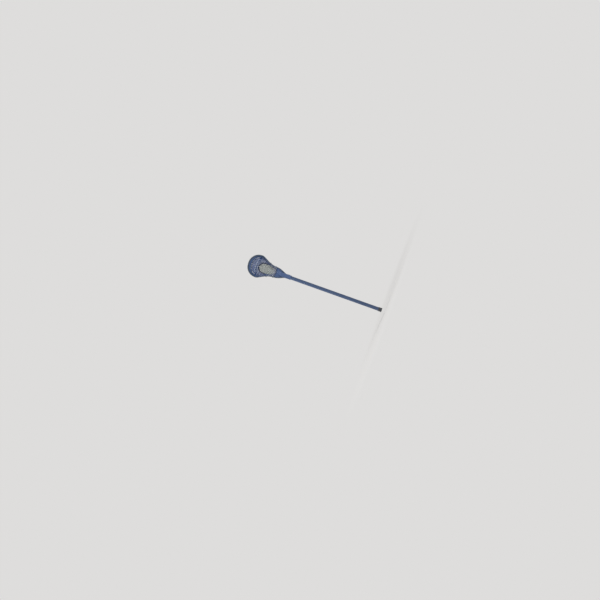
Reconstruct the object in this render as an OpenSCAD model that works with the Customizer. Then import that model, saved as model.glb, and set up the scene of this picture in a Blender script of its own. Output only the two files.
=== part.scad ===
// Lacrosse stick: a strung head clamped on a hollow octagonal shaft.
// Origin: centre of the butt cap's end face. +Z runs up the shaft to the scoop's tip,
// the catching face looks to -Y and the pocket hangs out to +Y.
// Places on the head are given as s, the distance down from the scoop's tip.

/* [Overall] */
// Length from the butt cap's end face to the scoop's tip
stick_length = 1025; // [1016:1:1067]
// How far below the tip the shaft's upper end sits inside the head
shaft_end_s = 258; // [256:1:260]

/* [Shaft] */
// Width of the shaft across the head's plane
shaft_x = 25.4; // [25:0.1:26]
// Depth of the shaft, front to back
shaft_y = 22.2; // [21.6:0.1:22.8]
// Wall of the shaft tube
shaft_wall = 1.3; // [1:0.1:1.6]
// How far the octagon's sloping sides cut its corners
shaft_corner = 7; // [6.5:0.1:7.5]

/* [Head] */
// Half of the head's greatest width
head_half_width = 84; // [81:1:86]
// Where below the tip the head is widest
widest_s = 82; // [80:1:84]
// Roundness of the scoop: 2 is an ellipse, more is squarer
scoop_power = 2.15; // [2:0.05:2.4]
// Half thickness of the head's wall between its rails
web_half = 1.8; // [1.5:0.1:2]
// Half thickness of the rails along the wall's two edges
rail_half = 3.1; // [2.8:0.1:3.3]
// Radius of the holes that the strings go through
string_hole_r = 2.1; // [1.8:0.1:2.3]
// Number of string holes in the scoop
scoop_holes = 11; // [9:2:13]
// Number of string holes in each sidewall
side_holes = 8; // [6:1:9]

/* [Throat] */
// Width of the socket that takes the shaft
socket_x = 31; // [30.6:0.1:31.6]
// Depth of the socket that takes the shaft
socket_y = 28.6; // [28:0.1:29]
// Where below the tip the socket's mouth is
socket_mouth_s = 328; // [322:1:334]
// Where below the tip the middle of the ball stop is
ball_stop_s = 215; // [213:1:216]

/* [Head screw] */
// Height of the head screw above the socket's mouth
screw_rise = 20; // [18:1:24]
// Outer radius of the screw's thread
screw_r = 2.1; // [2:0.05:2.15]
// Length of the screw under its head
screw_length = 15; // [12:1:17]

/* [Butt cap] */
// Length of the butt cap
cap_length = 26; // [24:1:34]
// Thickness of the butt cap's end
cap_floor = 5; // [4:0.5:6]
// Wall of the butt cap's sleeve
cap_wall = 2; // [1.8:0.1:2.4]

/* [Stringing] */
// Greatest depth of the pocket behind the head's middle plane
pocket_depth = 64; // [56:1:68]
// Thickness of the mesh
mesh_thick = 2; // [1.8:0.1:2.4]
// Diameter of the lacing cord
cord_d = 2.6; // [2.4:0.1:2.8]
// Width of the flat shooting strings
lace_w = 7.5; // [6.5:0.5:8.5]
// Thickness of the flat shooting strings
lace_t = 1.6; // [1.4:0.1:1.8]

/* [Hidden] */

shaft_end_z = stick_length - shaft_end_s;
socket_mouth_z = stick_length - socket_mouth_s;
screw_z = socket_mouth_z + screw_rise;
socket_gap = 0.1;
socket_round = 5;
// How far the head reaches above the shaft's end, inside the throat
socket_roof = 9;

// Butt cap: its clearance on the shaft, its end's bevel and bead, and the rings cut in its sleeve
cap_gap = 0.05;
cap_bevel = 0.8;
cap_bead = 0.7;
cap_bead_z = [1.6, 8];
ring_count = 3;
first_ring_z = 11.5;
ring_pitch = 4.5;
ring_width = 1.5;
ring_depth = 0.6;

// Head screw: its clearance, boss, seat, head, thread and cross recess
screw_gap = 0.08;
boss_r = 7;
boss_x = 17;
screw_seat_x = 15.2;
screw_recess_gap = 0.4;
screw_head_r = 4.2;
screw_head_h = 2.4;
thread_pitch = 1.4;
thread_depth = 0.5;
cross_size = [2.6, 4.6, 1];

// The head's side below its widest place, and its throat, as Bezier curves of [x, s]
side_bend = [[head_half_width, widest_s], [head_half_width, 108], [44, 140], [40.5, 205]];
throat_bend = [[40.5, 205], [40, 240], [27, 256], [15.8, 287]];
neck_end = [14.6, 300];

// How many steps the wall takes along each stretch of the outline
scoop_steps = 20;
side_steps = 16;
throat_steps = 12;
neck_steps = 3;

// The head's wall: [s, [y of its front edge, inward reach, y of its back edge]]
wall_shape = [[0, [-14, 27, 3]], [30, [-11, 24, 9]], [60, [-7, 17, 17]], [84, [-4, 12, 23]],
              [110, [-2, 8, 28]], [150, [-3, 4, 32]], [190, [-8, 3, 32]], [232, [-14, 2.5, 28]],
              [262, [-14.2, 2, 20]], [285, [-11, 1, 12]], [300, [-8, 0.4, 8]]];
// The throat's plate: how far its edges reach into the wall, and its ends on the outline
throat_inset = 4.5;
throat_q = [2.04, 3];
throat_y = [-5, 8];

// The ball stop is an arc that curves round the ball
stop_r = 51;
stop_thick = 4;
stop_y = [-8, 30];
stop_half_angle = 42;
arc_step = 3;
stop_hole_x = [-21, -8, 8, 21];
stop_hole_y = 25;
pad_thick = 5;
pad_y = [-7, 18];
pad_half_angle = 33;

// Lightening windows in the sidewalls
window_count = 5;
window_s = [96, 192];
window_strut = 5;

// String holes: their distance from the wall's back edge, and how far they run on the outline
hole_inset = 5.6;
scoop_hole_q = 0.64;
side_hole_q = [1.06, 1.94];
// Lacing cords wind round the rail's edge: the middle and the half sizes of each turn
loop_middle = -1.6;
loop_reach = hole_inset + loop_middle;
loop_rise = rail_half + cord_d / 2 + 0.1;

// Depth of the pocket's middle line: [s, y]
pocket_line = [[30, 4], [60, 14], [80, 26], [110, 50], [140, pocket_depth],
               [166, pocket_depth], [190, 53], [211, 31]];
// Where on the outline the mesh's upper corners and its foot are
corner_q = 0.72;
foot_q = 1.98;
mesh_inset = rail_half + mesh_thick / 2 + 0.6;

// Shooting strings: [s at the middle, s at the sidewalls, roundness of the bow]
upper_lace = [55, 86, 1];
lower_lace = [71, 106, 1];
u_lace = [79, 152, 0.3];

// ---- Curves -----------------------------------------------------------------------

function unit(v) = v / norm(v);
function mix(a, b, t) = a + (b - a) * t;
function ease(t) = let (c = min(1, max(0, t))) c * c * (3 - 2 * c);
function bezier(p, t) = pow(1 - t, 3) * p[0] + 3 * t * pow(1 - t, 2) * p[1]
                        + 3 * t * t * (1 - t) * p[2] + pow(t, 3) * p[3];

// A smooth curve through rows of [place, value]
function row_before(x, rows, i = 0) =
    i >= len(rows) - 2 || x < rows[i + 1][0] ? i : row_before(x, rows, i + 1);
function row_slope(rows, i) =
    let (a = rows[max(i - 1, 0)], b = rows[min(i + 1, len(rows) - 1)])
    (b[1] - a[1]) / (b[0] - a[0]);
function smooth_through(x, rows) =
    let (i = row_before(x, rows),
         a = rows[i],
         b = rows[i + 1],
         h = b[0] - a[0],
         t = min(1, max(0, (x - a[0]) / h)))
    (1 + 2 * t) * pow(1 - t, 2) * a[1] + t * pow(1 - t, 2) * h * row_slope(rows, i)
    + t * t * (3 - 2 * t) * b[1] + t * t * (t - 1) * h * row_slope(rows, i + 1);

// A polygon's points, given anticlockwise, with its corners rounded to radius r
function rounded(points, r, steps = 4) =
    let (n = len(points))
    [for (i = [0:n - 1])
         let (p = points[i],
              e1 = unit(p - points[(i + n - 1) % n]),
              e2 = unit(points[(i + 1) % n] - p),
              n1 = [e1[1], -e1[0]],
              n2 = [e2[1], -e2[0]],
              turn = atan2(n1[0] * n2[1] - n1[1] * n2[0], n1 * n2),
              centre = p - r * (n1 + n2) / (1 + n1 * n2))
         for (k = [0:steps])
             let (a = turn * k / steps)
             centre + r * [n1[0] * cos(a) - n1[1] * sin(a), n1[0] * sin(a) + n1[1] * cos(a)]];

// ---- The head's outline and wall --------------------------------------------------

// q runs along the outline: 0 is the tip, 1 the widest place, 2 beside the ball stop,
// 3 the neck, and q below 0 is the left side. The outline's points are [x, s].
function scoop_arc(t) = [head_half_width * pow(sin(90 * t), 2 / scoop_power),
                         widest_s * (1 - pow(cos(90 * t), 2 / scoop_power))];
function half_outline(q) = q < 1 ? scoop_arc(q)
                         : q < 2 ? bezier(side_bend, q - 1)
                         : q < 3 ? bezier(throat_bend, q - 2)
                         : mix(throat_bend[3], neck_end, q - 3);
function outline(q) = let (p = half_outline(abs(q))) [sign(q) * p[0], p[1]];
function inward(q) = let (d = 0.004, v = unit(outline(q + d) - outline(q - d))) [-v[1], v[0]];

// The wall's section: [distance along the wall from its front edge, half thickness]
function wall_length(s) = let (w = smooth_through(s, wall_shape)) norm([w[1], w[2] - w[0]]);
rail_edge = [[0, 1], [1.2, rail_half - 0.5], [4, rail_half]];
function wall_profile(long) = concat(rail_edge, [[8, web_half], [long - 8, web_half]],
                                     [for (i = [2:-1:0]) [long - rail_edge[i][0], rail_edge[i][1]]]);
function wall_loop(long) =
    let (p = wall_profile(long), n = len(p))
    concat(p, [for (i = [n - 1:-1:0]) [p[i][0], -p[i][1]]]);
// A place on the wall, as [inward, y]: u along it from its front edge, h outward from its middle
function wall_place(s, u, h) =
    let (w = smooth_through(s, wall_shape), d = unit([w[1], w[2] - w[0]]))
    [d[0] * u - d[1] * h, w[0] + d[1] * u + d[0] * h];
// How far inward the wall's middle starts, so that its front rail just meets the outline
function wall_inset(s) = max([for (p = rail_edge) -wall_place(s, p[0], p[1])[0]]);
function on_wall(q, u, h) =
    let (o = outline(q),
         n = inward(q),
         p = wall_place(o[1], u, h),
         a = p[0] + wall_inset(o[1]))
    [o[0] + n[0] * a, p[1], stick_length - o[1] - n[1] * a];
// The same, with u counted from the wall's back edge
function by_back_edge(q, u, h) = on_wall(q, wall_length(outline(q)[1]) + u, h);

// ---- The pocket's surface ---------------------------------------------------------

// The mesh's edge: just past the scoop's inner edge, and inside the sidewalls' back rails
function mesh_edge(q) =
    by_back_edge(q, mix(2.4, -3, ease((abs(q) - 0.65) / 0.35)),
                 -mesh_inset * ease((abs(q) - 0.4) / 0.4));
function stop_arc(x, r) = sqrt(r * r - x * x);
function left_of(p) = [-p[0], p[1], p[2]];

// The surface is a grid: i runs from the left sidewall to the right, and j from the scoop
// to the foot, where the mesh follows the ball stop
across = 24;
down = 26;
right_edge = [for (j = [0:down]) mesh_edge(mix(corner_q, foot_q, j / down))];
top_edge = [for (i = [0:across]) mesh_edge(mix(-corner_q, corner_q, i / across))];
foot_x = right_edge[down][0];
foot_r = stop_r - mesh_thick / 2 - 1.2;
function foot_bow(u) = stop_arc(foot_x * (2 * u - 1), foot_r) - stop_arc(foot_x, foot_r);
function flat_pocket(i, j) =
    let (u = i / across, v = j / down)
    mix(left_of(right_edge[j]), right_edge[j], u)
    + (1 - v) * (top_edge[i] - mix(top_edge[0], top_edge[across], u))
    - v * [0, 0, foot_bow(u)];
function swell_across(u) = pow(1 - pow(abs(2 * u - 1), 2.3), 1.05);
pocket_grid = [for (j = [0:down])
                   let (middle = flat_pocket(across / 2, j),
                        swell = smooth_through(stick_length - middle[2], pocket_line) - middle[1])
                   [for (i = [0:across])
                        flat_pocket(i, j) + [0, swell * swell_across(i / across), 0]]];
pocket_normals = [for (j = [0:down])
                      [for (i = [0:across])
                           unit(cross(pocket_grid[j][min(across, i + 1)] - pocket_grid[j][max(0, i - 1)],
                                      pocket_grid[min(down, j + 1)][i] - pocket_grid[max(0, j - 1)][i]))]];
// A value of one of these grids between its points: u and v run from 0 to 1
function between(grid, u, v) =
    let (i = min(across - 1, floor(u * across)), j = min(down - 1, floor(v * down)))
    mix(mix(grid[j][i], grid[j][i + 1], u * across - i),
        mix(grid[j + 1][i], grid[j + 1][i + 1], u * across - i), v * down - j);
// The v at which the pocket, at the given u, is s below the tip
function pocket_v(u, s, low = 0, high = 1, turns = 14) =
    let (v = (low + high) / 2)
    turns == 0 ? v
    : stick_length - between(pocket_grid, u, v)[2] < s ? pocket_v(u, s, v, high, turns - 1)
    : pocket_v(u, s, low, v, turns - 1);

// ---- Meshes -----------------------------------------------------------------------

// A solid through rings of points; every ring has the same even number of them
module skin(rings) {
    n = len(rings[0]);
    last = len(rings) - 1;
    end = last * n;
    polyhedron(points = [for (r = rings) each r],
               faces = concat([for (i = [0:last - 1], j = [0:n - 1])
                                   [i * n + j, (i + 1) * n + (j + 1) % n, (i + 1) * n + j]],
                              [for (i = [0:last - 1], j = [0:n - 1])
                                   [i * n + j, i * n + (j + 1) % n, (i + 1) * n + (j + 1) % n]],
                              [for (j = [0:n / 2 - 2]) [j + 1, j, n - 2 - j]],
                              [for (j = [0:n / 2 - 2]) [n - 2 - j, j, n - 1 - j]],
                              [for (j = [0:n / 2 - 2])
                                   [end + j, end + j + 1, end + n - 2 - j]],
                              [for (j = [0:n / 2 - 2])
                                   [end + j, end + n - 2 - j, end + n - 1 - j]]));
}

// A cord or flat lace along a path of [point, the direction that its flat side faces]
module lay_cord(path, wide, thick) {
    last = len(path) - 1;
    skin([for (i = [0:last])
              let (t = unit(path[min(last, i + 1)][0] - path[max(0, i - 1)][0]),
                   side = unit(cross(t, path[i][1])),
                   up = cross(side, t))
              [for (k = [0:7]) path[i][0] + side * cos(45 * k + 22.5) * wide / 2
                                          + up * sin(45 * k + 22.5) * thick / 2]]);
}

// A round hole's cutter from one point to another
module hole_through(from, to, r) {
    v = to - from;
    translate(from)
        rotate([0, acos(v[2] / norm(v)), atan2(v[1], v[0])])
            cylinder(r = r, h = norm(v), $fn = 24);
}

// ---- Shaft, butt cap and screw ----------------------------------------------------

// The shaft's octagon, larger all round by grow
module octagon(grow) {
    x = shaft_x / 2 + grow;
    y = shaft_y / 2 + grow;
    c = shaft_corner + grow * (2 - sqrt(2));
    polygon(rounded([[x, y - c], [x - c, y], [c - x, y], [-x, y - c],
                     [-x, c - y], [c - x, -y], [x - c, -y], [x, c - y]], 2 + grow));
}

module octagon_bar(grow, low, high) {
    translate([0, 0, low])
        linear_extrude(height = high - low)
            octagon(grow);
}

module screw_bore() {
    translate([0, 0, screw_z])
        rotate([0, 90, 0])
            cylinder(r = screw_r + screw_gap, h = shaft_x, $fn = 32);
}

module shaft() {
    color("steelblue")
        difference() {
            octagon_bar(0, cap_floor, shaft_end_z);
            octagon_bar(-shaft_wall, cap_floor - 1, shaft_end_z + 1);
            screw_bore();
        }
}

module butt_cap() {
    skin_grow = cap_gap + cap_wall;
    color("#1c222c")
        difference() {
            union() {
                octagon_bar(skin_grow, cap_bevel, cap_length);
                octagon_bar(skin_grow - cap_bevel, 0, cap_length);
                octagon_bar(skin_grow + cap_bead, cap_bead_z[0], cap_bead_z[1]);
            }
            octagon_bar(cap_gap, cap_floor, cap_length + 1);
            for (i = [1:ring_count]) {
                low = first_ring_z + ring_pitch * (i - 1);
                difference() {
                    octagon_bar(skin_grow + 1, low, low + ring_width);
                    octagon_bar(skin_grow - ring_depth, low - 1, low + ring_width + 1);
                }
            }
        }
}

module head_screw() {
    turns = floor((screw_length - 3) / thread_pitch);
    core_r = screw_r - thread_depth;
    color("silver")
        difference() {
            translate([screw_seat_x, 0, screw_z])
                rotate([0, 90, 0])
                    rotate_extrude($fn = 48)
                        polygon(concat(
                            [[0, screw_head_h], [0, -screw_length], [core_r * 0.5, -screw_length],
                             [core_r, 1 - screw_length]],
                            [for (i = [0:turns - 1], k = [0:3])
                                 [k == 1 || k == 2 ? screw_r : core_r,
                                  1.2 - screw_length + (i + k * 0.22) * thread_pitch]],
                            [[screw_r, -1.1], [screw_r, 0], [screw_head_r, 0],
                             [screw_head_r, screw_head_h * 0.45],
                             [screw_head_r * 0.85, screw_head_h * 0.8],
                             [screw_head_r * 0.5, screw_head_h]]));
            for (a = [0, 90])
                translate([screw_seat_x + screw_head_h, 0, screw_z])
                    rotate([a, 0, 0])
                        cube(cross_size, center = true);
        }
}

// ---- Head frame -------------------------------------------------------------------

function station(i) =
    let (a = abs(i), b = a - scoop_steps, c = b - side_steps, d = c - throat_steps)
    sign(i) * (b <= 0 ? a / scoop_steps : c <= 0 ? 1 + b / side_steps
               : d <= 0 ? 2 + c / throat_steps : 3 + d / neck_steps);

module wall() {
    last = scoop_steps + side_steps + throat_steps + neck_steps;
    skin([for (i = [-last:last])
              let (q = station(i))
              [for (p = wall_loop(wall_length(outline(q)[1]))) on_wall(q, p[0], p[1])]]);
}

// Points on the ball stop's arc, from one angle to another
function arc_angles(from, to) =
    [for (i = [0:abs(to - from) / arc_step]) from + i * arc_step * sign(to - from)];
function arc_points(r, angles) =
    [for (a = angles) [r * sin(a), stick_length - ball_stop_s + stop_r - r * cos(a)]];

// A plate that follows the ball stop's arc between two radii, from one y to another
module stop_arc_bar(inner_r, outer_r, half_angle, y) {
    translate([0, y[1], 0])
        rotate([90, 0, 0])
            linear_extrude(height = y[1] - y[0])
                polygon(concat(arc_points(outer_r, arc_angles(-half_angle, half_angle)),
                               arc_points(inner_r, arc_angles(half_angle, -half_angle))));
}

// A point inside the wall beside the throat
function throat_edge(q, side) =
    let (o = outline(q), n = inward(q))
    [side * (o[0] + n[0] * throat_inset), stick_length - o[1] - n[1] * throat_inset];

// The plate that fills the throat between the ball stop and the socket
module throat_plate() {
    qs = [for (i = [0:13]) throat_q[0] + i * (throat_q[1] - throat_q[0]) / 13];
    translate([0, throat_y[1], 0])
        rotate([90, 0, 0])
            linear_extrude(height = throat_y[1] - throat_y[0])
                polygon(concat([for (q = qs) throat_edge(q, -1)],
                               [for (i = [len(qs) - 1:-1:0]) throat_edge(qs[i], 1)],
                               arc_points(stop_r + stop_thick / 2, arc_angles(36, -36))));
}

module socket_block() {
    x = socket_x / 2;
    y = socket_y / 2;
    translate([0, 0, socket_mouth_z])
        linear_extrude(height = shaft_end_z + socket_roof - socket_mouth_z)
            polygon(rounded([[x, -y], [x, y], [-x, y], [-x, -y]], socket_round));
    translate([0, 0, screw_z])
        rotate([0, 90, 0])
            cylinder(r = boss_r, h = boss_x, $fn = 48);
}

function window_y(s, u) = wall_place(s, u < 0 ? wall_length(s) + u : u, 0)[1];

module sidewall_windows() {
    pitch = (window_s[1] - window_s[0] + window_strut) / window_count;
    for (i = [0:window_count - 1]) {
        low = window_s[0] + i * pitch;
        high = low + pitch - window_strut;
        translate([-head_half_width - 10, 0, 0])
            rotate([90, 0, 90])
                linear_extrude(height = 2 * head_half_width + 20)
                    polygon(rounded([[window_y(high, 9), stick_length - high],
                                     [window_y(high, -9), stick_length - high - 3],
                                     [window_y(low, -9), stick_length - low - 3],
                                     [window_y(low, 9), stick_length - low]], 2.5));
    }
}

function scoop_q(i) = mix(-scoop_hole_q, scoop_hole_q, i / (scoop_holes - 1));
function side_q(i) = mix(side_hole_q[0], side_hole_q[1], i / (side_holes - 1));

module string_holes() {
    for (i = [0:scoop_holes - 1])
        hole_through(by_back_edge(scoop_q(i), -hole_inset, -6),
                     by_back_edge(scoop_q(i), -hole_inset, 6), string_hole_r);
    for (side = [-1, 1], i = [0:side_holes - 1])
        hole_through(by_back_edge(side * side_q(i), -hole_inset, -6),
                     by_back_edge(side * side_q(i), -hole_inset, 6), string_hole_r);
    for (x = stop_hole_x)
        translate([x, stop_hole_y, stick_length - ball_stop_s - 8])
            cylinder(r = string_hole_r, h = 24, $fn = 24);
}

module head_frame() {
    color("royalblue")
        difference() {
            union() {
                wall();
                stop_arc_bar(stop_r, stop_r + stop_thick, stop_half_angle, stop_y);
                throat_plate();
                socket_block();
            }
            octagon_bar(socket_gap, socket_mouth_z - 1, shaft_end_z);
            screw_bore();
            translate([screw_seat_x, 0, screw_z])
                rotate([0, 90, 0])
                    cylinder(r = screw_head_r + screw_recess_gap, h = boss_x, $fn = 48);
            sidewall_windows();
            string_holes();
        }
}

module ball_stop_pad() {
    color("dimgray")
        stop_arc_bar(stop_r - pad_thick, stop_r, pad_half_angle, pad_y);
}

// ---- Stringing --------------------------------------------------------------------

module mesh_pocket() {
    half = mesh_thick / 2;
    color("lightsteelblue")
        skin([for (j = [0:down])
                  concat([for (i = [0:across]) pocket_grid[j][i] - half * pocket_normals[j][i]],
                         [for (i = [across:-1:0]) pocket_grid[j][i] + half * pocket_normals[j][i]])]);
}

// A cord wound round a rail's back edge, through a hole at each turn and the mesh's edge
module edge_lacing(first_q, last_q, holes) {
    rings = 10 * holes;
    lay_cord([for (k = [0:rings])
                  let (turn = mix(-0.25, holes - 0.75, k / rings),
                       q = mix(first_q, last_q, turn / (holes - 1)),
                       a = 360 * turn,
                       across = by_back_edge(q, 0, 1) - by_back_edge(q, 0, 0),
                       along = by_back_edge(q, 1, 0) - by_back_edge(q, 0, 0))
                  [by_back_edge(q, loop_middle - loop_reach * cos(a), -loop_rise * sin(a)),
                   along * cos(a) + across * sin(a)]],
             cord_d, cord_d);
}

module top_string() {
    color("lightblue")
        edge_lacing(-scoop_hole_q, scoop_hole_q, scoop_holes);
}

module left_sidewall_string() {
    color("lightblue")
        mirror([1, 0, 0])
            edge_lacing(side_hole_q[0], side_hole_q[1], side_holes);
}

module right_sidewall_string() {
    color("lightblue")
        edge_lacing(side_hole_q[0], side_hole_q[1], side_holes);
}

// A cord that runs along the ball stop, out and in through its holes, and takes up the mesh's foot
module bottom_string() {
    rise = stop_thick / 2 + cord_d / 2 + 1.2;
    reach = 30;
    color("lightblue")
        lay_cord([for (x = [-reach:2:reach])
                      let (crossed = len([for (h = stop_hole_x) if (h < x) h]),
                           near = min([for (h = stop_hole_x) abs(h - x)]),
                           side = (crossed % 2 == 0 ? 1 : -1) * ease(near / 3),
                           r = stop_r + stop_thick / 2 - side * rise)
                      [[x, stop_hole_y + 5 * max(0, side),
                        stick_length - ball_stop_s + stop_r - stop_arc(x, r)], [0, 1, 0]]],
                 cord_d, cord_d);
}

// How far down its bow a lace is, from 0 at the middle to 1 at the sidewalls
function lace_bow(a, roundness) =
    (sqrt(a * a + roundness * roundness) - roundness) / (sqrt(1 + roundness * roundness) - roundness);

module shooting_string(lace) {
    steps = 44;
    color("lightblue")
        lay_cord([for (i = [0:steps])
                      let (u = mix(0.01, 0.99, i / steps),
                           s = mix(lace[0], lace[1], lace_bow(abs(2 * u - 1), lace[2])),
                           v = pocket_v(u, s),
                           n = unit(between(pocket_normals, u, v)))
                      [between(pocket_grid, u, v) - n * (mesh_thick / 2 + lace_t / 2 - 0.3), n]],
                 lace_w, lace_t);
}

module upper_shooting_string() {
    shooting_string(upper_lace);
}

module lower_shooting_string() {
    shooting_string(lower_lace);
}

module u_shooting_string() {
    shooting_string(u_lace);
}

head_frame();
ball_stop_pad();
head_screw();
shaft();
butt_cap();
mesh_pocket();
top_string();
left_sidewall_string();
right_sidewall_string();
bottom_string();
upper_shooting_string();
lower_shooting_string();
u_shooting_string();
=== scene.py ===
"""The lacrosse stick's looks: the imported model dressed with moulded, laced and anodised pieces.

Lengths are in millimetres up to mesh_object(), which makes them metres. Places on the head
are given by s, the distance down from the scoop's tip, and by q, which runs along the head's
outline: 0 at the tip, 1 at the widest place, 2 beside the ball stop, 3 at the neck, and below
0 on the left side. The stick stands on the origin, with its catching face to -Y.
"""
import math

import bmesh
import bpy
import numpy as np
from mathutils import Matrix, Vector
from mathutils.bvhtree import BVHTree
from mathutils.kdtree import KDTree


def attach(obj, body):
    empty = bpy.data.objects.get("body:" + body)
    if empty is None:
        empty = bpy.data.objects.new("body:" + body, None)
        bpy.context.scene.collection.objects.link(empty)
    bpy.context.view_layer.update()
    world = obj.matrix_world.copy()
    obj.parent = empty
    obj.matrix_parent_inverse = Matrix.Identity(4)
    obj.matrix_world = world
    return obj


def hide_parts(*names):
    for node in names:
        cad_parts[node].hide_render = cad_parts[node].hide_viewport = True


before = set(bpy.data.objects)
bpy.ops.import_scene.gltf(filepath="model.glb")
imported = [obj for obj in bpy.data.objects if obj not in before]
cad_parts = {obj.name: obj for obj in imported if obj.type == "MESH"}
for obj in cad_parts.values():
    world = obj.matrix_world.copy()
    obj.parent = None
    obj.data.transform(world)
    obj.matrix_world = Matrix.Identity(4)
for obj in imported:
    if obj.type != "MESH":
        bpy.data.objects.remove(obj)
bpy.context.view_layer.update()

MM = 0.001

# ---- Image points, in the photograph's 600 by 600 frame -----------------------------

IMAGE_W, IMAGE_H = 600, 600
POINTS = {
    "tip": (248.3, 262.6),
    "butt": (381.7, 310.2),
    "left_x": (248, None),
    "right_x": (383, None),
    "top_y": (None, 254.5),
    "bottom_y": (None, 314),
    "pocket_top": (259.0, 266.5),
    "pocket_foot": (274.6, 271.9),
    "pocket_right": (268.5, 265.0),
    "pocket_left": (265.0, 273.5),
    "widest_right": (262.7, 255.3),
    "widest_left": (255.0, 277.3),
    "socket_mouth": (291.0, 277.8),
    "cap_edge": (378.3, 309.0),
}

# ---- Sizes --------------------------------------------------------------------------

STICK_LENGTH = 1025.0
SHAFT_X, SHAFT_Y, SHAFT_WALL, SHAFT_CORNER, SHAFT_ROUND = 25.4, 22.2, 1.3, 7.0, 2.0
SHAFT_END_Z = 767.0
SOCKET_MOUTH_Z = 697.0
SOCKET_X, SOCKET_Y = 31.0, 28.6
SCREW_Z = 717.0
CAP_FLOOR, CAP_LENGTH, CAP_WALL, CAP_GAP = 5.0, 26.0, 2.0, 0.05
# The cap's bead and the heights and shape of its grooves, as (how far out, z)
CAP_BEAD = [(-1.6, 0.0), (-0.7, 0.15), (0.1, 0.8), (0.6, 1.8), (0.7, 2.8), (0.7, 6.6), (0.5, 7.4),
            (0.1, 8.0), (0, 8.6)]
GROOVES = (11.5, 16.0, 20.5)
CAP_GROOVE = [(0, -0.15), (-0.12, 0), (-0.55, 0.3), (-0.6, 0.75), (-0.55, 1.2), (-0.12, 1.5), (0, 1.65)]

HEAD_HALF_WIDTH, WIDEST_S, SCOOP_POWER = 84.0, 82.0, 2.15
WEB_HALF, RAIL_HALF = 1.8, 3.1
# The outline beside the pocket and beside the throat: curves through (x, s)
SIDE_BEND = [(84, 82), (84, 108), (44, 140), (40.5, 205)]
THROAT_BEND = [(40.5, 205), (40, 240), (27, 256), (15.8, 287)]
NECK_END = (14.6, 300)
# The wall's front edge y, inward reach and back edge y, at some places s
WALL_SHAPE = [(0, (-14, 27, 3)), (30, (-11, 24, 9)), (60, (-7, 17, 17)), (84, (-4, 12, 23)),
              (110, (-2, 8, 28)), (150, (-3, 4, 32)), (190, (-8, 3, 32)), (232, (-14, 2.5, 28)),
              (262, (-14.2, 2, 20)), (285, (-11, 1, 12)), (300, (-8, 0.4, 8))]
RAIL_EDGE = [(0, 1), (1.2, RAIL_HALF - 0.5), (4, RAIL_HALF)]

BALL_STOP_S, STOP_R, STOP_THICK = 215.0, 51.0, 4.0
STOP_HOLE_X, STOP_HOLE_Y = (-21, -8, 8, 21), 25.0
STOP_Y, STOP_HALF_ANGLE, STOP_ROUND = (-8, 30), 42, 1.6
PAD_THICK, PAD_Y, PAD_HALF_ANGLE, DENT = 5.0, (-7, 18), 33.0, 0.5

HOLE_R, HOLE_INSET, SCOOP_HOLES, SIDE_HOLES = 2.1, 5.6, 11, 8
SCOOP_HOLE_Q, SIDE_HOLE_Q = 0.64, (1.06, 1.94)
CORD_D, MESH_THICK = 2.6, 2.0
# The pocket's depth y down its middle, at some places s
POCKET_LINE = [(30, 4), (60, 14), (80, 26), (110, 50), (140, 64), (166, 64), (190, 53), (211, 31)]
CORNER_Q, FOOT_Q = 0.72, 1.98
# Each lace's way from the middle, 0, to a sidewall, 1, as (place, s)
UPPER_LACE = ((0, 55), (0.35, 58), (0.7, 70), (1, 86))
LOWER_LACE = ((0, 71), (0.35, 75.5), (0.7, 89), (1, 106))
U_LACE = ((0, 79.3), (0.12, 81.5), (0.22, 85.5), (0.32, 90.5), (0.42, 96.5), (0.53, 105), (0.65, 119),
          (0.76, 134), (0.87, 146), (1, 152))
LACE_W, LACE_T, LACE_HOLES = 7.5, 1.6, (0.1, 0.9)

# ---- Curves, the head's wall and the pocket's surface -------------------------------


def mix(a, b, t):
    return a + (b - a) * t


def ease(t):
    """A soft step: 0 up to t = 0, 1 from t = 1 on."""
    c = np.clip(t, 0, 1)
    return c * c * (3 - 2 * c)


def unit(v):
    return v / np.linalg.norm(v, axis=-1, keepdims=True)


def smooth_through(x, rows):
    """A smooth curve through rows of (place, value), at the places x."""
    x = np.asarray(x, float)
    places = np.array([r[0] for r in rows], float)
    values = np.array([np.atleast_1d(r[1]) for r in rows], float)
    n = len(rows)
    after, before = np.minimum(np.arange(n) + 1, n - 1), np.maximum(np.arange(n) - 1, 0)
    slopes = (values[after] - values[before]) / (places[after] - places[before])[:, None]
    i = np.clip(np.searchsorted(places, x, side="right") - 1, 0, n - 2)
    h = (places[i + 1] - places[i])[..., None]
    t = np.clip((x[..., None] - places[i][..., None]) / h, 0, 1)
    out = ((1 + 2 * t) * (1 - t) ** 2 * values[i] + t * (1 - t) ** 2 * h * slopes[i]
           + t * t * (3 - 2 * t) * values[i + 1] + t * t * (t - 1) * h * slopes[i + 1])
    return out[..., 0] if np.ndim(rows[0][1]) == 0 else out


def bezier(p, t):
    """A cubic curve with the control points p, at the places t."""
    a, b, c, d = (np.array(v, float) for v in p)
    t = t[..., None]
    return (1 - t) ** 3 * a + 3 * t * (1 - t) ** 2 * b + 3 * t * t * (1 - t) * c + t ** 3 * d


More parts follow.
